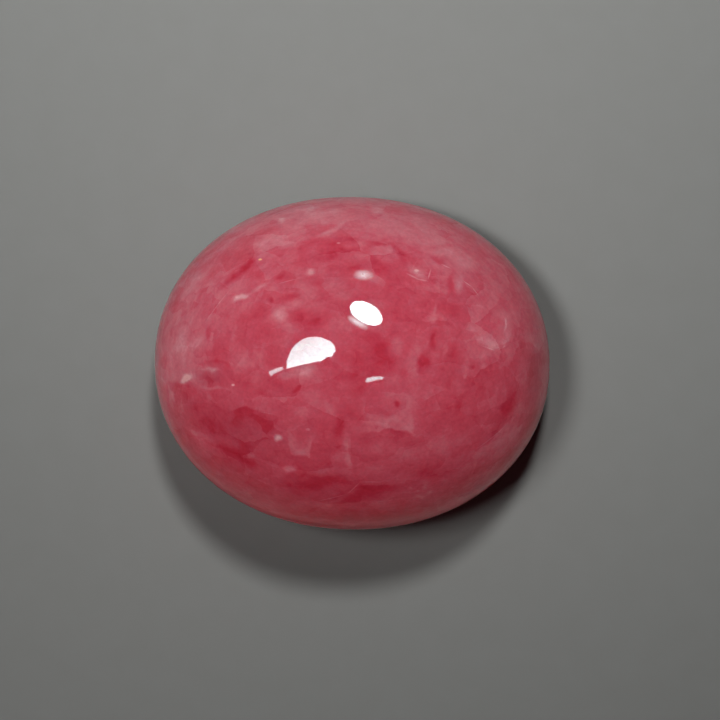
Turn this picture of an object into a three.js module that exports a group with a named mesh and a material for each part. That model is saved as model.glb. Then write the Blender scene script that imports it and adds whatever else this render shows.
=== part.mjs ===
// A loose oval cabochon of polished rhodochrosite: a high smooth dome on a rounded underside,
// with a flat ground base.
// Millimetres, +Z up. The origin is the middle of the flat base, +X runs along the oval's long axis.
import * as THREE from "three";

// Driving dimensions.
const LENGTH = 20.0; // long axis of the oval, at its widest level
const WIDTH = 16.9; // short axis of the oval, at its widest level
const DOME_RISE = 7.3; // from the widest level up to the top of the dome
const BELLY_HEIGHT = 2.5; // from the flat base up to the widest level
const UNDER_DEPTH = 3.5; // depth that the rounded underside would reach if the base were not ground flat
const OVAL_POWER = 2.08; // 2 is a true ellipse, and a little more makes the oval slightly fuller

// Fineness of the faceted surface.
const SIDES = 80;
const DOME_STEPS = 18;
const UNDER_STEPS = 8;

// The section of a body of unit radius: from the middle of the base out, up round the belly,
// and in to the top.
function cabochonSection() {
  const section = [new THREE.Vector2(0, 0)];
  const baseAngle = Math.asin(BELLY_HEIGHT / UNDER_DEPTH);
  for (let step = UNDER_STEPS; step > 0; step--) {
    const angle = (baseAngle * step) / UNDER_STEPS;
    section.push(new THREE.Vector2(Math.cos(angle), BELLY_HEIGHT - UNDER_DEPTH * Math.sin(angle)));
  }
  for (let step = 0; step < DOME_STEPS; step++) {
    const angle = ((Math.PI / 2) * step) / DOME_STEPS;
    section.push(new THREE.Vector2(Math.cos(angle), BELLY_HEIGHT + DOME_RISE * Math.sin(angle)));
  }
  section.push(new THREE.Vector2(0, BELLY_HEIGHT + DOME_RISE));
  return section;
}

// Stretches the round plan to the oval |x / half length|^p + |y / half width|^p = 1.
function stretchToOval(geometry) {
  const position = geometry.getAttribute("position");
  for (let i = 0; i < position.count; i++) {
    const x = position.getX(i);
    const y = position.getY(i);
    const round = Math.hypot(x, y);
    if (round === 0) continue;
    const power = Math.abs(x / round) ** OVAL_POWER + Math.abs(y / round) ** OVAL_POWER;
    const fullness = power ** (-1 / OVAL_POWER);
    position.setX(i, x * fullness * (LENGTH / 2));
    position.setY(i, y * fullness * (WIDTH / 2));
  }
  geometry.computeVertexNormals();
  return geometry;
}

const turned = new THREE.LatheGeometry(cabochonSection(), SIDES);
turned.rotateX(Math.PI / 2);

const cabochon = new THREE.Mesh(
  stretchToOval(turned),
  new THREE.MeshStandardMaterial({ color: 0xb9495f, roughness: 0.06, metalness: 0 }),
);
cabochon.name = "cabochon";

const stone = new THREE.Group();
stone.add(cabochon);

export default stone;
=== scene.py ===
# %% [markdown]
# # A rhodochrosite cabochon
# A cabochon is a stone cut to a smooth dome instead of facets. This one is an oval of rhodochrosite,
# a raspberry pink mineral, polished until it shines, lying on its flat base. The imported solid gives
# the true shape and size, and this lesson dresses it: a fine surface, the cloudy mineral inside, the
# polish, two lamps and a camera.

import math

import bmesh
import bpy
import numpy as np
from mathutils import Matrix, Vector, noise


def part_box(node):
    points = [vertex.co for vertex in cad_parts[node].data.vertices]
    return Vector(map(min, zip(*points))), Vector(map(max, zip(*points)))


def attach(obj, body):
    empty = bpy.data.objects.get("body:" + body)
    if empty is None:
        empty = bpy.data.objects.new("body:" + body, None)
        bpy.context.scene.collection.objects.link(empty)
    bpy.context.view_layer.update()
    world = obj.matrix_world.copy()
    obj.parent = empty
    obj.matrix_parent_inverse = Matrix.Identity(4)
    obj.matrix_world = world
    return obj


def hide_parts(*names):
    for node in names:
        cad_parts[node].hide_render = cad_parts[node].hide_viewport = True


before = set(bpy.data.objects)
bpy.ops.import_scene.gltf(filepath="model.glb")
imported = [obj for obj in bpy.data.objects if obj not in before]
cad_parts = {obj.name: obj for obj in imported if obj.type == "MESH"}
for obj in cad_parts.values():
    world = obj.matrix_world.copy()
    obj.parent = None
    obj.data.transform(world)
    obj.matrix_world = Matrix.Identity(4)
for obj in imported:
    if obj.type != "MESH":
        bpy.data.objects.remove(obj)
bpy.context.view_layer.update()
MM = 0.001
low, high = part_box("cabochon")
print("stone, mm:", [round(side / MM, 2) for side in high - low])

# %% [markdown]
# The photograph looks down on the stone from nearly straight above. The outline alone can't tell how
# nearly, but the highlights and the shadows together can: they fit best when the camera leans about
# ten degrees to the upper right. It could be moved by eye until the picture fits. Here the stone's
# length in pixels gives the scale, and its place in the picture gives the small step to one side, so
# the camera is right at once.

# %% Camera
PHOTO_SIDE_PX = 720
STONE_LENGTH_PX = 395.8
STONE_MIDDLE_PX = (351.8, 363.3)
BELLY_HEIGHT = 2.5 * MM
WORKING_DISTANCE = 200 * MM
CLIP_START = 1 * MM
CAMERA_LEAN = Vector((0.087, 0.149, 1))

pixel = (high.x - low.x) / STONE_LENGTH_PX
backward = CAMERA_LEAN.normalized()
upward = (Vector((0, 1, 0)) - backward * backward.y).normalized()
rightward = upward.cross(backward)
step_right = (PHOTO_SIDE_PX / 2 - STONE_MIDDLE_PX[0]) * pixel
step_up = (STONE_MIDDLE_PX[1] - PHOTO_SIDE_PX / 2) * pixel
looked_at = Vector((0, 0, BELLY_HEIGHT)) + rightward * step_right + upward * step_up

camera = bpy.data.objects.new("camera", bpy.data.cameras.new("camera"))
camera.matrix_world = Matrix((rightward, upward, backward)).transposed().to_4x4()
camera.location = looked_at + backward * WORKING_DISTANCE
camera.data.lens = camera.data.sensor_width * WORKING_DISTANCE / (PHOTO_SIDE_PX * pixel)
camera.data.clip_start = CLIP_START
bpy.context.scene.collection.objects.link(camera)
bpy.context.scene.camera = camera
bpy.context.scene.view_settings.view_transform = "Standard"
print("one pixel is", round(pixel / MM, 4), "mm, lens", round(camera.data.lens), "mm")

# %% [markdown]
# The stone is turned like a bowl and then squeezed to an oval: a dome above the belly, a rounded
# underside below it, and a flat base where the lap ground it. A screw modifier could turn the
# section, but two short formulas give every point exactly where the solid has it, with far more of
# them. The reflections then run smoothly, and each point can also carry a number that says how milky
# the mineral is there.

# %% The fine surface of the stone
UNDER_DEPTH = 3.5 * MM
OVAL_POWER = 2.08
SIDES = 480
DOME_RINGS = 150
UNDER_RINGS = 24

half_length = high.x
half_width = high.y
dome_rise = high.z - BELLY_HEIGHT


def oval(turn):
    c, s = np.cos(turn), np.sin(turn)
    fullness = (np.abs(c) ** OVAL_POWER + np.abs(s) ** OVAL_POWER) ** (-1 / OVAL_POWER)
    return np.stack([half_length * fullness * c, half_width * fullness * s], axis=-1)


def section():
    dome = np.linspace(math.pi / 2, 0, DOME_RINGS + 1)[1:]
    under = np.linspace(0, math.asin(BELLY_HEIGHT / UNDER_DEPTH), UNDER_RINGS + 1)[1:]
    reach = np.concatenate([np.cos(dome), np.cos(under)])
    height = BELLY_HEIGHT + np.concatenate([dome_rise * np.sin(dome), -UNDER_DEPTH * np.sin(under)])
    return reach, height


def stone_mesh():
    reach, height = section()
    outline = oval(np.arange(SIDES) * 2 * math.pi / SIDES)
    rings = [np.column_stack([outline * r, np.full(SIDES, z)]) for r, z in zip(reach, height)]
    points = np.concatenate([*rings, [[0, 0, high.z]]])
    ring = np.arange(SIDES)
    after = np.roll(ring, -1)
    faces = [(len(points) - 1, a, b) for a, b in zip(ring, after)]
    for i in range(len(rings) - 1):
        upper, lower = i * SIDES, (i + 1) * SIDES
        faces += [(upper + a, lower + a, lower + b, upper + b) for a, b in zip(ring, after)]
    faces.append(tuple((len(rings) - 1) * SIDES + ring[::-1]))
    mesh = bpy.data.meshes.new("polished_stone")
    mesh.from_pydata(points.tolist(), [], [tuple(map(int, f)) for f in faces])
    return mesh


stone = bpy.data.objects.new("polished_stone", stone_mesh())
bpy.context.scene.collection.objects.link(stone)
print("fine surface:", len(stone.data.vertices), "points")

# %% [markdown]
# A sharp edge round the base would chip, so the cutter breaks it. A bevel modifier could round it,
# but the points are painted later, so the edge loop of the base is bevelled in the mesh itself. Hand
# polishing also leaves the dome a few thousandths of a millimetre uneven, which no one sees in the
# outline but which bends the edge of a reflected lamp a little.

# %% Broken base edge and hand polish
BASE_EDGE_ROUND = 0.35 * MM
BASE_EDGE_SEGMENTS = 4
ON_THE_BASE = 0.0001 * MM
FACING_DOWN = -0.999
POLISH_WAVE = 4.0 * MM
POLISH_DEPTH = 0.006 * MM

shape = bmesh.new()
shape.from_mesh(stone.data)
base_edge = [e for e in shape.edges if all(v.co.z < ON_THE_BASE for v in e.verts)]
bmesh.ops.bevel(
    shape,
    geom=base_edge,
    offset=BASE_EDGE_ROUND,
    segments=BASE_EDGE_SEGMENTS,
    affect="EDGES",
)
for face in shape.faces:
    face.smooth = face.normal.z > FACING_DOWN
shape.normal_update()
for point in shape.verts:
    if point.co.z > 0:
        wave = (1 + noise.noise(point.co / POLISH_WAVE)) / 2
        point.co -= point.normal * POLISH_DEPTH * wave
shape.to_mesh(stone.data)
shape.free()
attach(stone, "root")
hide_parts("cabochon")
print("with its rounded base edge:", len(stone.data.polygons), "faces")

# %% [markdown]
# Many things below are placed by what the photograph shows at a pixel: lamps by their highlights,
# clouds by where they lie. One function follows the camera's ray through a pixel until it enters the
# dome, and another gives the dome's outward direction there. Blender can cast rays at a mesh too, but
# the formula of the dome is exact and finds a place even at the very rim.

# %% From a pixel of the photograph to the dome
RAY_START = 1.5
RAY_REACH = 2.0
RAY_STEPS = 40
RAY_HALVINGS = 20
LEAST_POWER = 1e-9


def dome_depth(place):
    reach = abs(place.x / half_length) ** OVAL_POWER + abs(place.y / half_width) ** OVAL_POWER
    return 1 - reach ** (2 / OVAL_POWER) - ((place.z - BELLY_HEIGHT) / dome_rise) ** 2


def on_dome(px, py):
    along = rightward * (px - PHOTO_SIDE_PX / 2) * pixel + upward * (PHOTO_SIDE_PX / 2 - py) * pixel
    along = (along - backward * WORKING_DISTANCE).normalized()
    start = camera.location + along * (WORKING_DISTANCE - RAY_START * dome_rise)
    steps = [start + along * (RAY_REACH * dome_rise * i / RAY_STEPS) for i in range(RAY_STEPS + 1)]
    depths = [dome_depth(place) for place in steps]
    deepest = depths.index(max(depths))
    first = next((i for i, tone_and_painted_light in enumerate(depths) if tone_and_painted_light > 0), deepest)
    outside, inside = steps[max(first - 1, 0)], steps[first]
    for _ in range(RAY_HALVINGS):
        middle = (outside + inside) / 2
        if dome_depth(middle) > 0:
            inside = middle
        else:
            outside = middle
    return inside


def outward(place):
    power = abs(place.x / half_length) ** OVAL_POWER + abs(place.y / half_width) ** OVAL_POWER
    slope = max(power, LEAST_POWER) ** (2 / OVAL_POWER - 1)
    x = slope * abs(place.x / half_length) ** (OVAL_POWER - 1) / half_length
    y = slope * abs(place.y / half_width) ** (OVAL_POWER - 1) / half_width
    z = (place.z - BELLY_HEIGHT) / dome_rise**2
    return Vector((math.copysign(x, place.x), math.copysign(y, place.y), z)).normalized()


print("the middle of the outline shows, mm:", [round(c / MM, 2) for c in on_dome(*STONE_MIDDLE_PX)])

# %% [markdown]
# Colours are written as the hex values a paint chart would give, and one function turns them into the
# linear numbers that shaders work with. Another small function adds a node with its settings and its
# links, so that a material reads from top to bottom.

# %% Helpers for materials
MID_GREY = "#808080"


def linear(hex_colour):
    parts = [int(hex_colour[i : i + 2], 16) / 255 for i in (1, 3, 5)]
    return [c / 12.92 if c <= 0.04045 else ((c + 0.055) / 1.055) ** 2.4 for c in parts] + [1.0]


def new_material(name):
    made = bpy.data.materials.new(name)
    made.use_nodes = True
    made.node_tree.nodes.clear()
    return made


def add(material, kind, inputs=None, **settings):
    made = material.node_tree.nodes.new("ShaderNode" + kind)
    for name, value in settings.items():
        setattr(made, name, value)
    for name, value in (inputs or {}).items():
        if isinstance(value, bpy.types.NodeSocket):
            material.node_tree.links.new(value, made.inputs[name])
        else:
            made.inputs[name].default_value = value
    return made


print("mid grey in linear light:", [round(c, 3) for c in linear(MID_GREY)])

# %% [markdown]
# The floor is grey card, pressed from paper fibre and left uncoated. That gives the eye an even, matt
# tone with a faint mottle, a millimetre or so across, where the fibres lie thicker and thinner, and
# no shine to speak of. The lamps hardly reach far from the stone, so the light of the room lies on
# the card there as a faint glow.

# %% Grey card, matt
MOTTLE = 1.5 * MM
MOTTLE_DETAIL = 3.0
THIN_FIBRE = "#8F908D"
THICK_FIBRE = "#939492"
FIBRE_RELIEF = 0.02 * MM
FIBRE_STRENGTH = 0.05
CARD_ROUGHNESS = 0.85
CARD_SHINE = 0.0
ROOM_WHITE = "#FFFFFF"
ROOM_GLOW = 0.16
GLOW_START = 45 * MM
GLOW_END = 190 * MM

card = new_material("grey card, matt")
card.cycles.emission_sampling = "NONE"
spot = add(card, "TexCoord").outputs["Object"]
mottle = add(card, "TexNoise", {
    "Vector": spot,
    "Scale": 1 / MOTTLE,
    "Detail": MOTTLE_DETAIL,
}).outputs["Fac"]
tint = add(card, "ValToRGB", {"Fac": mottle})
tint.color_ramp.elements[0].color = linear(THIN_FIBRE)
tint.color_ramp.elements[1].color = linear(THICK_FIBRE)
fibre = add(card, "Bump", {"Height": mottle, "Strength": FIBRE_STRENGTH, "Distance": FIBRE_RELIEF})
away = add(card, "VectorMath", {0: spot}, operation="LENGTH").outputs["Value"]
room = add(card, "MapRange", {
    "Value": away,
    "From Min": GLOW_START,
    "From Max": GLOW_END,
    "To Min": 0.0,
    "To Max": ROOM_GLOW,
}, interpolation_type="SMOOTHSTEP").outputs["Result"]
paper = add(card, "BsdfPrincipled", {
    "Base Color": tint.outputs["Color"],
    "Roughness": CARD_ROUGHNESS,
    "Specular IOR Level": CARD_SHINE,
    "Normal": fibre.outputs["Normal"],
    "Emission Color": linear(ROOM_WHITE),
    "Emission Strength": room,
})
add(card, "OutputMaterial", {"Surface": paper.outputs["BSDF"]})
print("card:", len(card.node_tree.nodes), "nodes")

# %% [markdown]
# The stone lies on a small sheet of this card, and a large one just below carries on to the horizon.
# One plane would do for the floor, but then the dome would mirror the horizon as a line across it. So
# only the small sheet shows in the polish.

# %% Two sheets of card
SHEET_SIDE = 160 * MM
FAR_SHEET_SIDE = 1200 * MM
SHEET_THICKNESS = 0.05 * MM


def card_sheet(name, side, height):
    mesh = bpy.data.meshes.new(name)
    half = side / 2
    corners = [(-half, -half), (half, -half), (half, half), (-half, half)]
    mesh.from_pydata([(x, y, height) for x, y in corners], [], [(0, 1, 2, 3)])
    mesh.materials.append(card)
    sheet = bpy.data.objects.new(name, mesh)
    bpy.context.scene.collection.objects.link(sheet)
    return sheet


card_sheet("floor", SHEET_SIDE, 0)
far_floor = card_sheet("far_floor", FAR_SHEET_SIDE, -SHEET_THICKNESS)
far_floor.visible_glossy = False
print("sheets of card, mm:", SHEET_SIDE / MM, "and", FAR_SHEET_SIDE / MM)

# %% [markdown]
# Two shadows show two lamps. The edges of a shadow give the direction of its lamp, and their softness
# gives the lamp's size as seen from the stone. Each is an area light whose spread is kept narrow,
# like a lamp behind a grid, and aimed beside the stone, because the card is brighter to one side. The
# polish is shown none of these lamps: their highlights are made further down.

# %% Key lamp
KEY_FROM = Vector((0.141, 0.724, 1))
KEY_DISTANCE = 250 * MM
KEY_HALF_ANGLE = math.radians(4.2)
KEY_AIM = Vector((-28, -58, 0)) * MM
KEY_BEAM = math.radians(46)
KEY_POWER = 0.0265


def lamp(name, spot, half_size, aim, beam, power):
    light = bpy.data.lights.new(name, "AREA")
    light.shape = "DISK"
    light.size = 2 * half_size
    light.energy = power
    light.spread = beam
    made = bpy.data.objects.new(name, light)
    made.location = spot
    made.rotation_euler = (aim - spot).to_track_quat("-Z", "Y").to_euler()
    made.visible_camera = False
    made.visible_glossy = False
    bpy.context.scene.collection.objects.link(made)
    return made


key_spot = KEY_FROM.normalized() * KEY_DISTANCE
lamp("key_lamp", key_spot, KEY_DISTANCE * math.tan(KEY_HALF_ANGLE), KEY_AIM, KEY_BEAM, KEY_POWER)
print("key lamp", round(math.degrees(KEY_FROM.angle(Vector((0, 0, 1))))), "degrees from overhead")

# %% [markdown]
# The left lamp is wide and oval. An area light can be an ellipse too, but a wide one with a narrow
# spread would light the card unevenly, so it is made of seven round bulbs that are all aimed at the
# same place: one in the middle and a ring of six.

# %% Left lamp
LEFT_FROM = Vector((-0.333, 0.233, 1))
LEFT_DISTANCE = 400 * MM
LEFT_HALF_ANGLES = (math.radians(10.0), math.radians(7.8))
LEFT_TURN = math.radians(49)
LEFT_AIM = Vector((4, 50, 0)) * MM
LEFT_BEAM = math.radians(22)
LEFT_POWER = 0.0228
LEFT_BULBS = 7
RING_REACH = 0.62
BULB_REACH = 0.42

left_spot = LEFT_FROM.normalized() * LEFT_DISTANCE
left_frame = LEFT_FROM.to_track_quat("Z", "Y").to_matrix() @ Matrix.Rotation(LEFT_TURN, 3, "Z")
left_reach = [LEFT_DISTANCE * math.tan(angle) for angle in LEFT_HALF_ANGLES]
for bulb in range(LEFT_BULBS):
    out = RING_REACH if bulb else 0
    round_turn = bulb * 2 * math.pi / (LEFT_BULBS - 1)
    across_ring = out * math.cos(round_turn) * left_reach[0]
    up_ring = out * math.sin(round_turn) * left_reach[1]
    bulb_spot = left_spot + left_frame @ Vector((across_ring, up_ring, 0))
    bulb_half = BULB_REACH * left_reach[1]
    lamp("left_bulb", bulb_spot, bulb_half, LEFT_AIM, LEFT_BEAM, LEFT_POWER / LEFT_BULBS)
print("left lamp", round(math.degrees(LEFT_FROM.angle(Vector((0, 0, 1))))), "degrees from overhead")

# %% [markdown]
# Light also wanders right through a translucent stone and comes out, reddened, on the side away from
# the lamps. That is a long way, and tracing it would take far more samples than this picture is
# worth. Two weak pink lamps stand in for it, low at the bottom left and bottom right. Their narrow
# beams skim the card, which hardly catches them.

# %% Pink light that comes through the stone
THROUGH_COLOUR = "#FFA0A6"
THROUGH_FROM = [Vector((-0.72, -0.66, 0.018)), Vector((0.72, -0.66, 0.018))]
THROUGH_POWERS = [0.00017, 0.0001]
THROUGH_DISTANCE = 300 * MM
THROUGH_HALF_SIZE = 4 * MM
THROUGH_BEAM = math.radians(5)
THROUGH_AIM = Vector((0, 0, 4)) * MM

for source, power in zip(THROUGH_FROM, THROUGH_POWERS):
    low_spot = source.normalized() * THROUGH_DISTANCE
    made = lamp("light_through", low_spot, THROUGH_HALF_SIZE, THROUGH_AIM, THROUGH_BEAM, power)
    made.data.color = linear(THROUGH_COLOUR)[:3]
print(len(THROUGH_FROM), "pink lamps")

# %% [markdown]
# Between the lamps the room is dim. It only keeps the deepest shadow from going quite black.

# %% Dim room
ROOM_LEVEL = 0.007

world = bpy.data.worlds.new("dim room")
world.use_nodes = True
world.node_tree.nodes["Background"].inputs["Color"].default_value = [ROOM_LEVEL] * 3 + [1]
bpy.context.scene.world = world
print("room level:", ROOM_LEVEL)

# %% [markdown]
# What the polish mirrors are the bright fronts of the lamps. A lamp's own disk would give a plain
# round highlight, and those in the photograph are cut off and have small glints beside them. So each
# front is a panel of frosted glass, which gives the eye an even white, and only reflections see it.
# Its rim is drawn as the highlight's rim in the photograph and thrown out along the mirrored rays, so
# the dome gives back just that shape.

# %% Panels that the dome mirrors
PANEL_DISTANCE = 300 * MM
LAMP_WHITE = "#CEFFFF"


def mirrored(glint_px):
    place = on_dome(*glint_px)
    seen = (place - camera.location).normalized()
    return place + seen.reflect(outward(place)) * PANEL_DISTANCE


def lamp_front(name, rim, brightness, edge, slope):
    middle = tuple(np.mean(rim, axis=0))
    levels = [brightness * (edge + np.dot(np.subtract(glint, middle), slope)) for glint in rim]
    corners = len(rim)
    mesh = bpy.data.meshes.new(name)
    panel_points = [mirrored(glint) for glint in [*rim, middle]]
    mesh.from_pydata(panel_points, [], [(i, (i + 1) % corners, corners) for i in range(corners)])
    shine = mesh.attributes.new("shine", "FLOAT", "POINT")
    shine.data.foreach_set("value", [*levels, brightness])
    glow = new_material("frosted lamp glass")
    strength = add(glow, "Attribute", attribute_name="shine").outputs["Fac"]
    light = add(glow, "Emission", {"Color": linear(LAMP_WHITE), "Strength": strength})
    add(glow, "OutputMaterial", {"Surface": light.outputs["Emission"]})
    mesh.materials.append(glow)
    panel = bpy.data.objects.new(name, mesh)
    bpy.context.scene.collection.objects.link(panel)
    panel.visible_camera = False
    panel.visible_diffuse = False
    panel.visible_shadow = False


print("panels stand", PANEL_DISTANCE / MM, "mm away")

# %% [markdown]
# Round fronts are ellipses in the picture, given by the middle, half the length and width, and the
# turn in degrees. The others are given corner by corner. After the rim comes the brightness, then the
# share of it that is left at the rim, then how the rim changes with every pixel to the right and
# downwards. The lamp white is a little blue-green, because the red stone below adds its own light to
# a highlight.

# %% Lamp fronts and glints
RIM_STEPS = 40
EVEN = (0.0, 0.0)


def ellipse_px(middle, half_size, turn):
    c, s = math.cos(math.radians(turn)), math.sin(math.radians(turn))
    rim = []
    for step in range(RIM_STEPS):
        a = step * 2 * math.pi / RIM_STEPS
        u, v = half_size[0] * math.cos(a), half_size[1] * math.sin(a)
        rim.append((middle[0] + u * c + v * s, middle[1] - u * s + v * c))
    return rim


FRONTS = [
    ("key_front", ellipse_px((366.1, 313.2), (17.8, 10.0), -30), 30, 1.0, EVEN),
    ("key_fringe", ellipse_px((357.5, 322.5), (13.5, 4.2), -31), 15, 0.0, EVEN),
    ("left_front",
     [(286.5, 369), (287, 361), (290, 352), (296, 344), (304, 338.5), (313, 336.5), (322, 337.5),
      (330, 341), (335, 346), (335, 351), (331.5, 357.5), (327.5, 353.5), (325.5, 358.5), (321, 361),
      (301, 365)], 16.5, 1.0, (0.008, 0.014)),
    ("upper_glint", ellipse_px((363.5, 275), (11.5, 6.0), -4), 11, 0.0, EVEN),
    ("right_glint",
     [(366, 378.5), (373, 376.5), (383, 376.5), (383.5, 379), (376, 380.5), (371.5, 381.5),
      (366, 383)], 12, 0.8, EVEN),
    ("left_glint",
     [(268.5, 372), (275.5, 369), (282.5, 366.5), (284, 369.5), (277, 372.5), (272.5, 374.5),
      (271, 377)], 9, 1.0, EVEN),
]
for name, rim_px, brightness, edge, slope in FRONTS:
    lamp_front(name, rim_px, brightness, edge, slope)
print(len(FRONTS), "fronts and glints")

# %% [markdown]
# Inside, the mineral is a jumble of milky clouds, clear crimson windows and flakes that cleaved along
# flat planes. Noise alone would give a stone of the same kind, but not this one. So the big marks are
# given one by one: where the photograph shows them, half their length and width in millimetres, which
# way they point in degrees, and how much milkier or clearer they make the stone. A painter would dab
# them on one after the other, and so does this: every point of the surface gets a number called milk.
# Noise bends their edges first, because nothing in a stone is a neat ellipse. Its seed is set, or
# every run would bend them in another way.

# %% Points to paint, bent a little by noise
BEND_WAVE = 0.9 * MM
BEND = 0.17 * MM
RAGGED_WAVE = 0.30 * MM
RAGGED = 0.08 * MM
BEND_SEED = 35

noise.seed_set(BEND_SEED)
count = len(stone.data.vertices)
points = np.empty(count * 3)
stone.data.vertices.foreach_get("co", points)
points = points.reshape(-1, 3)
bend = np.array([noise.noise_vector(Vector(p) / BEND_WAVE) for p in points])
ragged = np.array([noise.noise_vector(Vector(p) / RAGGED_WAVE) for p in points])
bent = points + bend * BEND + ragged * RAGGED
milk = np.zeros(count)
print("points to paint:", count)

# %% [markdown]
# Each mark has a frame of its own: one number along it, one across it, both 1 at its rim, as seen in
# the photograph. A third number fades it away from the surface it lies on, so no mark shows through
# on the far side.

# %% A mark's own frame
SINK_SHARE = 0.6
SINK_LEAST = 0.5


def smooth(start, end, value):
    t = np.clip((value - start) / (end - start), 0, 1)
    return t * t * (3 - 2 * t)


def own_frame(place_px, half_long, half_wide, turn):
    middle = on_dome(*place_px)
    offset = bent - np.array(middle)
    right, up = offset @ np.array(rightward), offset @ np.array(upward)
    c, s = math.cos(math.radians(turn)), math.sin(math.radians(turn))
    along = (right * c + up * s) / (half_long * MM)
    across = (up * c - right * s) / (half_wide * MM)
    sink = (SINK_SHARE * max(half_long, half_wide) + SINK_LEAST) * MM
    sunk = offset @ np.array(outward(middle)) / sink
    return along, across, np.exp(-sunk * sunk)


along, across, near = own_frame(STONE_MIDDLE_PX, 1, 1, 0)
print("a round mark of 2 mm covers", int(np.sum(near * (np.hypot(along, across) < 1))), "points")

# %% [markdown]
# The broadest differences come first: milky flanks at the top and left, a clear middle and a clear
# foot. The milky flanks are partly painted reflection of the lit card near the rim, and the clear rims
# at the bottom and right are partly painted shade, where the rim mirrors the dark shadow on the card.

# %% Broad zones
ZONE_FALL = 1.2
ZONES = [
    # Painted reflection, in part: the milky left and top flanks also stand for the lit card that the
    # rim mirrors.
    ("milky cloud and painted reflection on the left flank", (186, 352), 3.0, 1.9, 80, 0.18),
    ("milky cloud and painted reflection on the top flank", (325, 219), 6.2, 1.3, 4, 0.18),
    ("milky upper right", (448, 264), 2.3, 1.2, -38, 0.15),
    ("rosy right shoulder", (490, 325), 2.0, 1.8, 80, 0.12),
    ("clear middle", (362, 352), 2.2, 1.5, -10, -0.14),
    ("pale column", (402, 384), 2.3, 0.65, 86, 0.04),
    ("clear lower left", (243, 424), 2.9, 1.3, -12, -0.08),
    ("clear foot", (340, 482), 4.8, 1.3, -2, -0.05),
    ("clear lower right", (430, 470), 2.6, 0.9, 8, -0.03),
    # Painted shade, in part: the clear lower, lower left and right rims also stand for the mirrored
    # dark shadow on the card.
    ("clear crystal and painted shade at the lower rim", (345, 519), 6.5, 0.9, 0, -0.26),
    ("clear crystal and painted shade at the lower left rim", (205, 465), 4.0, 0.9, -42, -0.10),
    ("clear crystal and painted shade at the right rim", (528, 440), 3.5, 0.9, 62, -0.12),
]
for name, place_px, half_long, half_wide, turn, strength in ZONES:
    along, across, near = own_frame(place_px, half_long, half_wide, turn)
    milk += strength * near * np.exp(-ZONE_FALL * (along**2 + across**2))
print(len(ZONES), "zones")

# %% [markdown]
# Then the windows, where clear crystal lets you see into the red depth. They fade out softly at their
# rims.

# %% Windows
SOFT_FROM = 0.25
SOFT_TO = 1.3
WINDOWS = [
    ("lens at upper left", (237, 275), 1.25, 0.27, 38, -0.19),
    ("small lens", (281, 276), 0.32, 0.17, 30, -0.18),
    ("lens over the blob", (289, 297), 0.55, 0.24, 25, -0.20),
    ("dot by the wisp", (270, 300), 0.17, 0.15, 0, -0.22),
    ("pool under the wisp", (257, 313), 0.85, 0.42, 18, -0.08),
    ("pool by the key glint", (309, 319), 0.95, 0.45, 4, -0.19),
    ("dash at the top", (301, 249), 0.28, 0.15, 20, -0.09),
    ("pool at the top", (328, 257), 0.70, 0.26, 4, -0.15),
    ("arch over the lobe", (379, 243.5), 0.58, 0.13, -8, -0.18),
    ("arch shoulder", (397, 249), 0.45, 0.24, -40, -0.10),
    ("arch foot", (403, 258), 0.45, 0.28, -75, -0.15),
    ("streak at the upper glint", (359, 267), 0.42, 0.15, 0, -0.18),
    ("patch right of the ring", (438, 260), 0.38, 0.18, -40, -0.17),
    ("dot under the ring", (434, 280), 0.20, 0.16, 80, -0.13),
    ("upright lens", (451, 283), 0.42, 0.20, 88, -0.21),
    ("patch below the lens", (444, 302), 0.50, 0.30, 70, -0.03),
    ("upright window", (425, 363), 0.66, 0.34, 84, -0.21),
    ("patch above the window", (431, 343), 0.40, 0.20, 80, -0.22),
    ("dot in the column", (394.5, 404), 0.17, 0.18, 0, -0.30),
    ("patch in the column", (403, 374), 0.27, 0.24, 0, -0.12),
    ("slanted window", (509, 406), 0.85, 0.33, 62, -0.22),
    ("red above the foot", (339, 429), 0.60, 0.38, 65, -0.21),
    ("slash by the wedge", (329.5, 463), 0.50, 0.12, 50, -0.10),
    ("great foot window", (322, 481), 1.65, 0.44, 2, -0.14),
    ("its deepest part", (310, 485), 0.55, 0.22, 0, -0.06),
    ("right foot window", (371, 493), 0.85, 0.38, 0, -0.07),
    ("long foot window", (420, 470), 1.90, 0.55, 6, -0.09),
    ("lower left pool", (206, 423), 0.50, 0.36, 0, -0.06),
    ("dab at the left rim", (197, 407), 0.32, 0.22, 40, -0.05),
    ("dark lower left streak", (244, 458), 0.75, 0.24, -35, -0.12),
    ("heart of the swirl", (209, 377), 0.50, 0.25, 0, -0.15),
    ("left upright dab", (209, 335), 0.40, 0.17, 85, -0.25),
    ("right upright dab", (228, 336), 0.36, 0.17, 85, -0.12),
    ("streak above the window", (432, 334), 0.45, 0.13, 86, -0.10),
    ("dot at the right", (472, 366), 0.16, 0.13, 60, -0.22),
    ("upright streak at the right", (455, 349), 0.50, 0.14, 84, -0.09),
    ("clear field right of the window", (452, 366), 0.80, 0.80, 0, -0.13),
    ("clear heart below the middle", (350, 412), 0.80, 0.55, 10, -0.11),
    ("streak below the left glint", (297, 390), 0.30, 0.10, 30, -0.20),
]


def dab(marks):
    total = np.zeros(count)
    for name, place_px, half_long, half_wide, turn, strength in marks:
        along, across, near = own_frame(place_px, half_long, half_wide, turn)
        total += strength * near * (1 - smooth(SOFT_FROM, SOFT_TO, np.hypot(along, across)))
    return total


milk += dab(WINDOWS)
print(len(WINDOWS), "windows")
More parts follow.
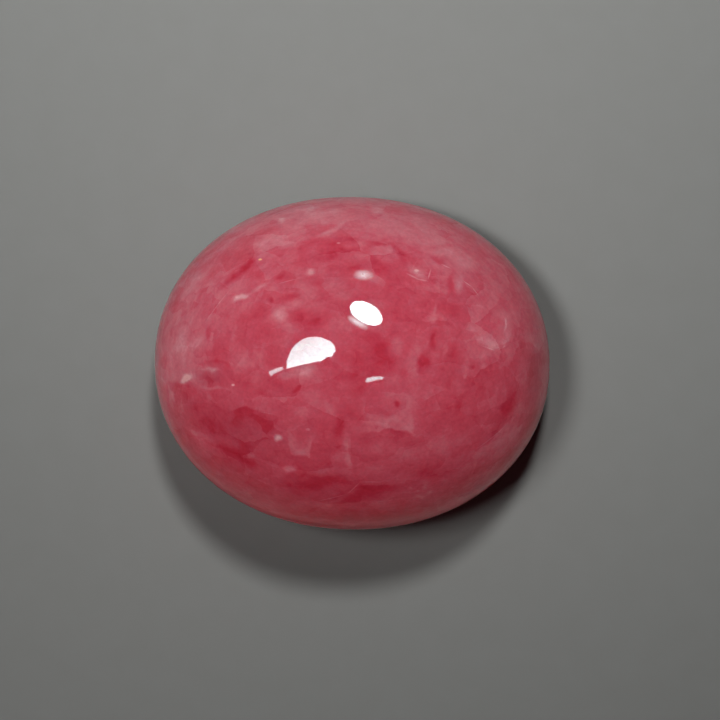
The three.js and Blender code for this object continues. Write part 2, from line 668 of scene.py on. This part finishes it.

# %% [markdown]
# The clouds, where fine bubbles and films scatter the light, are dabbed on in the same way. The one
# under the left lamp's highlight is a painted reflection instead.

# %% Clouds
CLOUDS = [
    ("wisp, lower stroke", (241, 297), 0.47, 0.14, 24, 0.40),
    ("wisp, upper stroke", (260, 288), 0.60, 0.15, 26, 0.24),
    ("lavender blob", (280, 313), 0.45, 0.36, 20, 0.24),
    ("tail of the blob", (294, 306), 0.60, 0.18, 20, 0.05),
    ("soft spot", (309, 273), 0.32, 0.22, -10, 0.36),
    ("top puff", (282, 219), 0.22, 0.20, 0, 0.20),
    ("tail of the puff", (300, 224), 0.80, 0.15, 10, 0.02),
    ("slanted streak", (333, 229), 0.75, 0.14, 36, 0.21),
    ("smear at the top", (376, 211), 0.45, 0.18, -5, 0.19),
    ("pale lobe", (384, 254), 0.70, 0.50, -30, 0.14),
    ("upper left rim cloud", (193, 284), 0.90, 0.45, 50, 0.09),
    ("star", (433, 317), 0.36, 0.30, 60, 0.20),
    ("inside of the ring", (419, 272), 0.50, 0.28, -15, 0.24),
    ("body of the lobe", (497, 335), 0.85, 0.65, 60, 0.06),
    # Painted reflection: this veil, under the left lamp's highlight, is a dim reflection drawn as
    # milk.
    ("painted reflection under the left lamp", (298, 372), 1.00, 0.36, 12, 0.23),
    ("ray of the star", (436, 307), 0.35, 0.10, 80, 0.16),
    ("upright streak", (505, 323), 0.35, 0.07, 85, 0.30),
    ("pale strip", (459, 287), 0.55, 0.20, 75, 0.12),
    ("patch over the curve", (472, 262), 0.50, 0.35, -40, 0.10),
    ("bright edge of the bank", (205, 438), 0.90, 0.25, -30, 0.11),
    ("rose field by the left glint", (250, 358), 1.00, 0.90, 0, 0.15),
    ("first left limb streak", (172, 398), 0.80, 0.09, -78, 0.17),
    ("second left limb streak", (181, 402), 0.90, 0.08, -85, 0.06),
    ("halo of the wedge", (187, 379), 0.30, 0.20, 40, 0.38),
    ("upper lip of the swirl", (210, 369), 0.55, 0.12, 2, 0.26),
    ("lower lip of the swirl", (214, 387), 0.85, 0.10, -6, 0.19),
    ("bright soft spot", (278, 439), 0.25, 0.22, 0, 0.54),
    ("pale dot by the streak", (250, 455), 0.20, 0.17, 0, 0.19),
    ("pale dot at the left", (195, 433), 0.25, 0.20, 0, 0.16),
    ("lower left bank", (220, 439), 1.30, 0.28, -14, 0.12),
    ("dab over the foot", (289, 468), 0.35, 0.20, 0, 0.34),
    ("top of the column", (396, 346), 0.45, 0.50, 0, 0.14),
    ("neck of the column", (414, 357), 0.65, 0.35, 85, 0.13),
    ("first foot speckle", (409, 487), 0.12, 0.10, 0, 0.20),
    ("second foot speckle", (418, 491), 0.14, 0.10, 30, 0.22),
    ("third foot speckle", (425, 486), 0.10, 0.10, 0, 0.18),
    ("fourth foot speckle", (430, 492), 0.14, 0.08, 60, 0.14),
    ("fifth foot speckle", (421, 496), 0.20, 0.12, 0, 0.18),
    ("lower right patch", (458, 441), 0.75, 0.35, 15, 0.06),
    ("field at the top", (352, 245), 0.75, 0.30, 0, 0.20),
    ("field at the upper left", (268, 247), 1.30, 0.60, 30, 0.10),
    ("field over the lobe", (486, 297), 0.80, 0.50, -55, 0.05),
    ("pale upright streak", (445, 352), 0.70, 0.15, 82, 0.14),
    ("pale specks at the right", (483, 365), 0.22, 0.12, 30, 0.13),
    ("pale dot at the right", (465.5, 377), 0.12, 0.12, 0, 0.22),
]
milk += dab(CLOUDS)
print(len(CLOUDS), "clouds")

# %% [markdown]
# Rhodochrosite cleaves along flat planes, and a plane that ends inside the stone shows as a step:
# crisp along one line and fading away to one side of it. Each step is drawn along its crisp line, and
# the change in milk lies on the left hand of someone who walks the line in the picture. The last two
# numbers are the width of the fading side in millimetres and the change.

# %% Cleavage steps
STEPS = [
    ("lobe at the right",
     [(473.5, 332), (479, 342.5), (488, 348), (496, 350.5), (504.5, 349), (511, 341), (512.5, 332),
      (512, 322)], 0.90, 0.23),
    ("foot of the column",
     [(379, 425), (389, 427.5), (401, 430), (411.5, 432.5), (412.5, 420), (412, 408)], 0.80, 0.17),
    ("shade under the column",
     [(417, 438), (412, 436), (401, 431), (389, 428), (372, 432), (360, 435)], 0.80, -0.18),
    ("patch left of the wedge",
     [(288, 431), (288.5, 447), (294.5, 455), (308, 456), (312, 447), (317, 432)], 0.50, 0.19),
    ("right side of the wedge", [(351, 467), (350.5, 452), (350.5, 438)], 0.60, 0.20),
    ("left side of the wedge", [(343, 445), (337.5, 451), (328, 461.5), (321, 468)], 0.45, 0.13),
    ("roof of the clear lower left",
     [(277, 416), (261, 412), (252, 409), (242.5, 405.5), (229, 409), (216, 406)], 0.95, -0.17),
    ("flake over that roof",
     [(229, 409), (242.5, 405.5), (252, 409), (261, 412), (277, 416)], 0.60, 0.08),
    ("hem of that flake", [(288, 392), (268, 390.5), (254.5, 396), (251, 403)], 0.35, 0.08),
    ("roof of the great foot window",
     [(352, 474), (337.5, 473.5), (323, 477), (308, 475), (292, 473.5)], 0.80, -0.11),
    ("sill of the great foot window",
     [(359, 484), (347, 493.5), (329.5, 500.5), (311, 503), (294, 501.5)], 0.40, 0.14),
    ("roof of the right foot window",
     [(398, 483), (385, 484.5), (362.5, 484.5), (353, 487.5)], 0.65, -0.15),
    # Partly painted reflection: the pale side of this step, towards the rim, also stands for the card
    # that the rim mirrors.
    ("pale flake and painted reflection at lower right",
     [(510, 420), (503, 428), (493.5, 435), (484, 444), (473.5, 452), (473, 462)], 0.90, 0.17),
    ("dusky field at the right rim",
     [(546, 346), (537, 354), (531, 363), (527, 375), (523, 388)], 0.95, -0.11),
    ("pale lobe at the top",
     [(398.5, 260), (397, 250), (389, 244), (380, 244), (369, 248)], 0.55, 0.13),
    ("cut of the pale lobe", [(369, 249), (376, 257), (383, 266)], 0.40, 0.07),
    ("roof of the clear top",
     [(420, 251), (404, 250), (393, 244), (380, 242), (364, 239.5), (353, 237.5), (343, 240),
      (338, 248), (321, 255)], 0.65, -0.05),
    ("upper left patch", [(175.5, 302), (190, 301.5), (204, 288)], 0.80, 0.11),
    ("lower left bank", [(274, 468), (253, 462), (240, 454), (222, 446), (196, 434)], 0.50, -0.11),
    ("arch of the swirl",
     [(235, 366), (228, 361), (217, 359.5), (207, 361), (199.5, 365), (194, 371)], 0.26, -0.15),
    ("hem of the milky flank", [(157.5, 375.5), (162, 381.5), (167, 386.5)], 0.50, 0.10),
    ("second hem of the flank", [(167.5, 383.5), (175, 381), (181.5, 383.5), (188, 384)], 0.60, 0.10),
    ("red field under the flank",
     [(200, 389), (188, 385), (181.5, 384), (175, 381.5), (167.5, 384)], 1.20, -0.13),
    ("brow over the clear middle",
     [(394, 351), (388, 340), (378, 333), (366, 330), (350, 331)], 0.80, -0.08),
    ("diagonal below the ring", [(431, 282.5), (440, 289), (449.5, 296)], 0.35, 0.10),
    ("brow over the lobe", [(492, 314), (480, 309), (465, 306)], 0.55, -0.10),
    ("right of the lobe", [(514, 318), (516, 332), (513, 350)], 0.40, -0.10),
    ("left of the upright window", [(421, 374), (420.5, 364), (422.5, 354)], 0.40, 0.10),
    ("upper left lens", [(217.5, 290), (233, 279.5), (246, 270), (257, 262)], 0.45, -0.12),
]
print(len(STEPS), "steps")

# %% [markdown]
# To paint a step, each point looks for the nearest piece of the line, in the plane of the picture.
# The side it lies on gives the crisp edge and the distance gives the fading. Both ends of the line
# taper off.

# %% Painting the steps
EDGE = 0.05 * MM
TOP_FROM = 1.0 * MM
TOP_TO = 2.2 * MM
TAPER_END = 0.04
TAPER_POWER = 0.6

flat_points = np.stack([bent @ np.array(rightward), bent @ np.array(upward)], axis=-1)
on_top = smooth(TOP_FROM, TOP_TO, points[:, 2])


def step_field(path, width):
    line = [on_dome(*place_px) for place_px in path]
    line = np.array([(place.dot(rightward), place.dot(upward)) for place in line])
    nearest = np.full(count, np.inf)
    side = np.zeros(count)
    taper = np.zeros(count)
    for i, (start, end) in enumerate(zip(line[:-1], line[1:])):
        run = end - start
        length = np.hypot(*run)
        offset = flat_points - start
        along = np.clip(offset @ run / length**2, 0, 1)
        apart = np.hypot(*(offset - along[:, None] * run).T)
        left = (run[0] * offset[:, 1] - run[1] * offset[:, 0]) / length
        closer = apart < nearest
        nearest[closer] = apart[closer]
        side[closer] = left[closer]
        way = np.clip((i + along[closer]) / (len(line) - 1), TAPER_END, 1 - TAPER_END)
        taper[closer] = np.sin(math.pi * way) ** TAPER_POWER
    return smooth(-EDGE, EDGE, side) * (1 - smooth(0, width, nearest)) * taper


for name, path, width, strength in STEPS:
    milk += strength * on_top * step_field(path, width * MM)
milk_layer = stone.data.attributes.new("milk", "FLOAT", "POINT")
milk_layer.data.foreach_set("value", milk)
print("milk from", round(milk.min(), 2), "to", round(milk.max(), 2))

# %% [markdown]
# Some places are drawn darker and others lighter. A second painted number, shade, keeps that apart
# from the milk. The lighter places on the right shoulder, the lower rim, the left limb and the upper
# right rim are painted light. The underside is painted shade: it is drawn dark because the card in its
# shadow is nearly black, so hardly any light may leave the stone on that side. The right end of the
# stone is painted a little lighter, for the stronger light on that side.

# %% Darker and lighter places, with painted light and painted shade
SHADES = [
    ("deep lower left", (240, 428), 2.4, 1.2, -15, -0.13),
    ("deep heart of the swirl", (209, 376), 0.9, 0.45, 0, -0.13),
    ("deep right rim", (534, 374), 1.3, 0.5, 80, -0.12),
    ("deep upper middle", (330, 290), 3.2, 2.0, 0, -0.08),
    # Painted light: the lighter places on the right shoulder, the lower rim, the left limb and the
    # upper right rim.
    ("painted light on the right shoulder", (497, 330), 1.6, 1.2, 70, 0.10),
    ("painted light on the lower rim", (345, 513), 5.0, 0.8, 0, 0.18),
    ("light lower left bank", (203, 440), 1.0, 0.35, -30, 0.13),
    ("painted light on the left limb", (165, 380), 2.0, 0.5, 85, 0.12),
    ("painted light on the upper right rim", (500, 262), 2.6, 0.6, -50, 0.12),
    ("light dab over the foot", (289, 468), 0.6, 0.35, 0, 0.12),
]
LEFT_END_SHADE = 0.98
RIGHT_END_SHADE = 1.07
UNDERSIDE_SHADE = 0.3
DARK_BELOW = 1.0 * MM
FULL_ABOVE = 2.3 * MM

# Painted light: the stone is drawn lighter towards its right end, for the stronger light on that side.
shade = LEFT_END_SHADE + (RIGHT_END_SHADE - LEFT_END_SHADE) * (points[:, 0] - low.x) / (high.x - low.x)
for name, place_px, half_long, half_wide, turn, strength in SHADES:
    along, across, near = own_frame(place_px, half_long, half_wide, turn)
    shade += strength * near * np.exp(-ZONE_FALL * (along**2 + across**2))
# Painted shade: the stone is drawn darker towards its base, from 2.3 mm down to 1 mm above it.
shade *= UNDERSIDE_SHADE + (1 - UNDERSIDE_SHADE) * smooth(DARK_BELOW, FULL_ABOVE, points[:, 2])
shade_layer = stone.data.attributes.new("shade", "FLOAT", "POINT")
shade_layer.data.foreach_set("value", shade)
print(len(SHADES), "places, shade from", round(shade.min(), 2), "to", round(shade.max(), 2))

# %% [markdown]
# Now the material: rhodochrosite, cut and polished. It is a translucent manganese carbonate, so the
# eye sees milky pink and deep red below a wet-looking shine. Finer growth comes from noise at sizes
# found in the stone: clouds of 3 mm, streaks under 1 mm, fibres of half a millimetre and grain of a
# seventh. The layers of the crystal lie flat, so the noise is squeezed in height. Where the dome runs
# steeply through them, they show as streaks along its rim.

# %% Growth noise inside the stone
CLOUD_SIZE = 2.8 * MM
STREAK_SIZE = 0.9 * MM
FIBRE_SIZE = 0.5 * MM
GRAIN_SIZE = 0.14 * MM
SWIRL = 0.5 * MM
SWIRL_DETAIL = 2.0
MIDDLE_MILK = 0.5
NOISE_MIDDLE = 0.5
GROWTH_ROUGHNESS = 0.55
GROWTH = [
    ("clouds", CLOUD_SIZE, 1.6, 3.0, 0.45),
    ("streaks", STREAK_SIZE, 1.8, 4.0, 0.34),
    ("fibres", FIBRE_SIZE, 2.0, 3.0, 0.16),
    ("grain", GRAIN_SIZE, 1.2, 2.0, 0.07),
]

rhodochrosite = new_material("rhodochrosite, polished")
place = add(rhodochrosite, "TexCoord").outputs["Object"]
swirl = add(rhodochrosite, "TexNoise", {
    "Vector": place,
    "Scale": 1 / STREAK_SIZE,
    "Detail": SWIRL_DETAIL,
}).outputs["Color"]
bent_place = add(rhodochrosite, "VectorMath", {
    0: swirl,
    1: [SWIRL] * 3,
    2: place,
}, operation="MULTIPLY_ADD").outputs["Vector"]
painted = add(rhodochrosite, "Attribute", attribute_name="milk").outputs["Fac"]
level = add(rhodochrosite, "Math", {0: painted, 1: MIDDLE_MILK}, operation="ADD").outputs["Value"]
for name, size, flatness, detail, amount in GROWTH:
    layered = add(rhodochrosite, "Mapping", {"Vector": bent_place, "Scale": (1, 1, flatness)})
    pattern = add(rhodochrosite, "TexNoise", {
        "Vector": layered.outputs["Vector"],
        "Scale": 1 / size,
        "Detail": detail,
        "Roughness": GROWTH_ROUGHNESS,
    }).outputs["Fac"]
    centred = add(rhodochrosite, "Math", {0: pattern, 1: NOISE_MIDDLE}, operation="SUBTRACT")
    level = add(rhodochrosite, "Math", {
        0: centred.outputs["Value"],
        1: amount,
        2: level,
    }, operation="MULTIPLY_ADD").outputs["Value"]
print(len(GROWTH), "layers of growth noise")

# %% [markdown]
# Cleavage also breaks the clouds into countless small flakes. A Voronoi texture divides the stone
# into cells, and every cell gets a slope of its own: paler towards one side, clearer towards the
# other, with a crisp jump where it meets its neighbour. Noise makes the edges ragged, and two sizes
# of flake lie over each other.

# %% Cleavage flakes
FLAKES = [("large flakes", 2.0 * MM, 0.20), ("small flakes", 0.8 * MM, 0.13)]
FLAKE_LEAN = (0.3, 0.2, math.radians(-25))
FLAKE_STRETCH = (0.7, 1.3, 1.0)
FLAKE_RAGGED = 0.32 * MM
FLAKE_DETAIL = 3.0

rough_swirl = add(rhodochrosite, "TexNoise", {
    "Vector": place,
    "Scale": 1 / FIBRE_SIZE,
    "Detail": FLAKE_DETAIL,
}).outputs["Color"]
ragged_place = add(rhodochrosite, "VectorMath", {
    0: rough_swirl,
    1: [FLAKE_RAGGED] * 3,
    2: place,
}, operation="MULTIPLY_ADD").outputs["Vector"]
for name, size, amount in FLAKES:
    lying = add(rhodochrosite, "Mapping", {
        "Vector": ragged_place,
        "Rotation": FLAKE_LEAN,
        "Scale": FLAKE_STRETCH,
    }).outputs["Vector"]
    cells = add(rhodochrosite, "TexVoronoi", {"Vector": lying, "Scale": 1 / size})
    inside = add(rhodochrosite, "VectorMath", {
        0: lying,
        1: cells.outputs["Position"],
    }, operation="SUBTRACT")
    tilt = add(rhodochrosite, "VectorMath", {
        0: cells.outputs["Color"],
        1: [NOISE_MIDDLE] * 3,
    }, operation="SUBTRACT")
    slope = add(rhodochrosite, "VectorMath", {
        0: inside.outputs["Vector"],
        1: tilt.outputs["Vector"],
    }, operation="DOT_PRODUCT").outputs["Value"]
    level = add(rhodochrosite, "Math", {
        0: slope,
        1: amount / size,
        2: level,
    }, operation="MULTIPLY_ADD").outputs["Value"]
print(len(FLAKES), "sizes of flake")

# %% [markdown]
# Healed cracks show as pale hairs and trapped grains as specks, mostly less than a tenth of a
# millimetre thick. That is no wider than the spacing of the painted points, so each is a small
# stretched ball in the material itself. A hair is given by its two ends, half its width in
# millimetres and how milky it is.

# %% Hairs and specks
HAIRS = [
    ("hair at upper left", (203, 324), (233, 285), 0.035, 0.16),
    ("hair by the small lens", (277, 284), (299, 278), 0.030, 0.18),
    ("left foot of the ring", (407, 273.5), (418, 279), 0.055, 0.24),
    ("right foot of the ring", (417, 279), (427.5, 281), 0.055, 0.24),
    ("right side of the ring", (431, 269), (428, 279), 0.040, 0.30),
    ("upper left of the ring", (420, 256), (410, 272), 0.030, 0.05),
    ("upper right of the ring", (421, 256), (430.5, 269), 0.030, 0.06),
    ("hair right of the ring", (441, 264), (452, 269), 0.040, 0.24),
    ("curve, first half", (463, 280.5), (472, 287), 0.035, 0.30),
    ("curve, second half", (472, 287), (479, 296), 0.030, 0.30),
    ("lower right diagonal", (474, 452), (509, 424), 0.030, 0.20),
    ("foot line, left", (315, 502), (347, 494.5), 0.040, 0.18),
    ("foot line, rise", (347, 494.5), (360, 482.5), 0.040, 0.20),
    ("foot line, right", (360, 482), (382, 482), 0.045, 0.14),
    ("upright hair by the wedge", (350, 432), (350, 465), 0.035, 0.10),
    ("dash at the right rim", (540.5, 391), (541, 399), 0.030, 0.30),
    ("lip of the lobe, left", (480, 345), (496, 351), 0.040, 0.16),
    ("lip of the lobe, right", (496, 351), (508, 345), 0.040, 0.14),
    ("hair at lower left", (256, 411), (277, 415), 0.030, 0.10),
    ("speck in the ring", (415.5, 270.5), (418, 270.5), 0.09, 0.30),
    ("speck at the top", (337.5, 243), (339.5, 243), 0.07, 0.35),
    ("speck at the left", (232, 385), (234, 385), 0.07, 0.50),
    ("speck over the patch", (307, 429.5), (309, 429.5), 0.09, 0.20),
    ("bright wedge", (184.5, 381), (189, 377.5), 0.17, 0.10),
]
WARM_GRAIN_PX = ((259.2, 259.4), (261.2, 259.4))
WARM_GRAIN_HALF = 0.065
HAIR_BULGE = 0.15
HAIR_DEPTH = 2.0
HAIR_CORE = 0.3
HAIR_RIM = 1.2


def stretched_ball(start_px, end_px, half_wide):
    start, end = on_dome(*start_px), on_dome(*end_px)
    middle = on_dome((start_px[0] + end_px[0]) / 2, (start_px[1] + end_px[1]) / 2)
    normal = outward(middle)
    run = (end - start) - normal * (end - start).dot(normal)
    run.normalize()
    half_run = (end - start).length / 2
    deep = HAIR_BULGE * half_run + HAIR_DEPTH * half_wide * MM
    ball = add(rhodochrosite, "Mapping", {
        "Vector": place,
        "Location": middle,
        "Rotation": Matrix((run, normal.cross(run), normal)).transposed().to_euler(),
        "Scale": (half_run + half_wide * MM, half_wide * MM, deep),
    }, vector_type="TEXTURE")
    reach = add(rhodochrosite, "VectorMath", {0: ball.outputs["Vector"]}, operation="LENGTH")
    return add(rhodochrosite, "MapRange", {
        "Value": reach.outputs["Value"],
        "From Min": HAIR_CORE,
        "From Max": HAIR_RIM,
        "To Min": 1.0,
        "To Max": 0.0,
    }, interpolation_type="SMOOTHSTEP").outputs["Result"]


for name, start_px, end_px, half_wide, strength in HAIRS:
    mark = stretched_ball(start_px, end_px, half_wide)
    level = add(rhodochrosite, "Math", {
        0: mark,
        1: strength,
        2: level,
    }, operation="MULTIPLY_ADD").outputs["Value"]
warm_grain = stretched_ball(*WARM_GRAIN_PX, WARM_GRAIN_HALF)
print(len(HAIRS), "hairs and specks, and one warm grain")

# %% [markdown]
# The milk level then picks the colour: clear crystal is deep crimson, the usual stone is raspberry,
# thin cloud is rose and thick cloud a milky pink. The lap leaves the base a little paler. One trapped
# grain is of another, honey-coloured mineral.

# %% Colours of the milk
MILK_COLOURS = [
    (0.05, "#BA2038"),
    (0.30, "#C73B51"),
    (0.50, "#D0586B"),
    (0.72, "#D57A88"),
    (0.95, "#E0A2A8"),
    (1.00, "#EBB4B6"),
]
HONEY = "#FFC08A"
GRIND_DEPTH = 0.12 * MM
GROUND_MILK = 0.1
NEW_STOP = 0.5

height = add(rhodochrosite, "SeparateXYZ", {"Vector": place}).outputs["Z"]
ground = add(rhodochrosite, "MapRange", {
    "Value": height,
    "From Min": 0.0,
    "From Max": GRIND_DEPTH,
    "To Min": 1.0,
    "To Max": 0.0,
}).outputs["Result"]
level = add(rhodochrosite, "Math", {
    0: ground,
    1: GROUND_MILK,
    2: level,
}, operation="MULTIPLY_ADD").outputs["Value"]
colour = add(rhodochrosite, "ValToRGB", {"Fac": level})
stops = colour.color_ramp.elements
while len(stops) < len(MILK_COLOURS):
    stops.new(NEW_STOP)
for stop, (position, hex_colour) in zip(stops, MILK_COLOURS):
    stop.position = position
    stop.color = linear(hex_colour)
grained = add(rhodochrosite, "MixRGB", {
    "Fac": warm_grain,
    "Color1": colour.outputs["Color"],
    "Color2": linear(HONEY),
}).outputs["Color"]
print(len(MILK_COLOURS), "colours from clear crystal to thick cloud")

# %% [markdown]
# The stone is sugary up close: tiny grains turn more or less towards the light, which shades them a
# little. They are drawn a sixth of a millimetre wide, a few pixels of the photograph. The painted
# shade multiplies this.

# %% Sugary grain
SUGAR_SIZE = 0.16 * MM
SUGAR_DETAIL = 2.0
SUGAR_DARK = 0.86
SUGAR_LIGHT = 1.14

sugar = add(rhodochrosite, "TexNoise", {
    "Vector": place,
    "Scale": 1 / SUGAR_SIZE,
    "Detail": SUGAR_DETAIL,
}).outputs["Fac"]
sparkle = add(rhodochrosite, "MapRange", {"Value": sugar, "To Min": SUGAR_DARK, "To Max": SUGAR_LIGHT})
# The painted number shade carries tone, painted light at the rim and right end, and painted shade on
# the underside.
tone_and_painted_light = add(rhodochrosite, "Attribute", attribute_name="shade").outputs["Fac"]
value = add(rhodochrosite, "Math", {
    0: sparkle.outputs["Result"],
    1: tone_and_painted_light,
}, operation="MULTIPLY").outputs["Value"]
shaded = add(rhodochrosite, "HueSaturation", {"Color": grained, "Value": value}).outputs["Color"]
print("grains drawn", round(SUGAR_SIZE / pixel, 1), "pixels wide")

# %% [markdown]
# Rhodochrosite has an index of refraction between 1.6 and 1.8, and the lower one fits the strength of
# the highlights. Light wanders a little inside before it comes out, red furthest. The polish is a
# fine one, with a roughness near 0.03 that changes a little from place to place, and the ground base
# is left matt.

# %% Polish and the matt base
PEEL_SIZE = 1.3 * MM
PEEL_DETAIL = 2.0
PEEL_RELIEF = 0.01 * MM
PEEL_STRENGTH = 0.05
SMOOTHEST = 0.022
ROUGHEST = 0.045
GROUND_ROUGHNESS = 0.4
REFRACTION = 1.6
SCATTER_SHARE = 0.85
SCATTER_COLOURS = (1.0, 0.3, 0.25)
SCATTER_REACH = 1.6 * MM

peel = add(rhodochrosite, "TexNoise", {
    "Vector": place,
    "Scale": 1 / PEEL_SIZE,
    "Detail": PEEL_DETAIL,
}).outputs["Fac"]
polish = add(rhodochrosite, "MapRange", {"Value": peel, "To Min": SMOOTHEST, "To Max": ROUGHEST})
roughness = add(rhodochrosite, "Math", {
    0: ground,
    1: GROUND_ROUGHNESS,
    2: polish.outputs["Result"],
}, operation="MULTIPLY_ADD").outputs["Value"]
relief = add(rhodochrosite, "Bump", {
    "Height": peel,
    "Strength": PEEL_STRENGTH,
    "Distance": PEEL_RELIEF,
})
skin = add(rhodochrosite, "BsdfPrincipled", {
    "Base Color": shaded,
    "Roughness": roughness,
    "IOR": REFRACTION,
    "Subsurface Weight": SCATTER_SHARE,
    "Subsurface Radius": SCATTER_COLOURS,
    "Subsurface Scale": SCATTER_REACH,
    "Normal": relief.outputs["Normal"],
})
add(rhodochrosite, "OutputMaterial", {"Surface": skin.outputs["BSDF"]})
stone.data.materials.append(rhodochrosite)
print("rhodochrosite:", len(rhodochrosite.node_tree.nodes), "nodes")
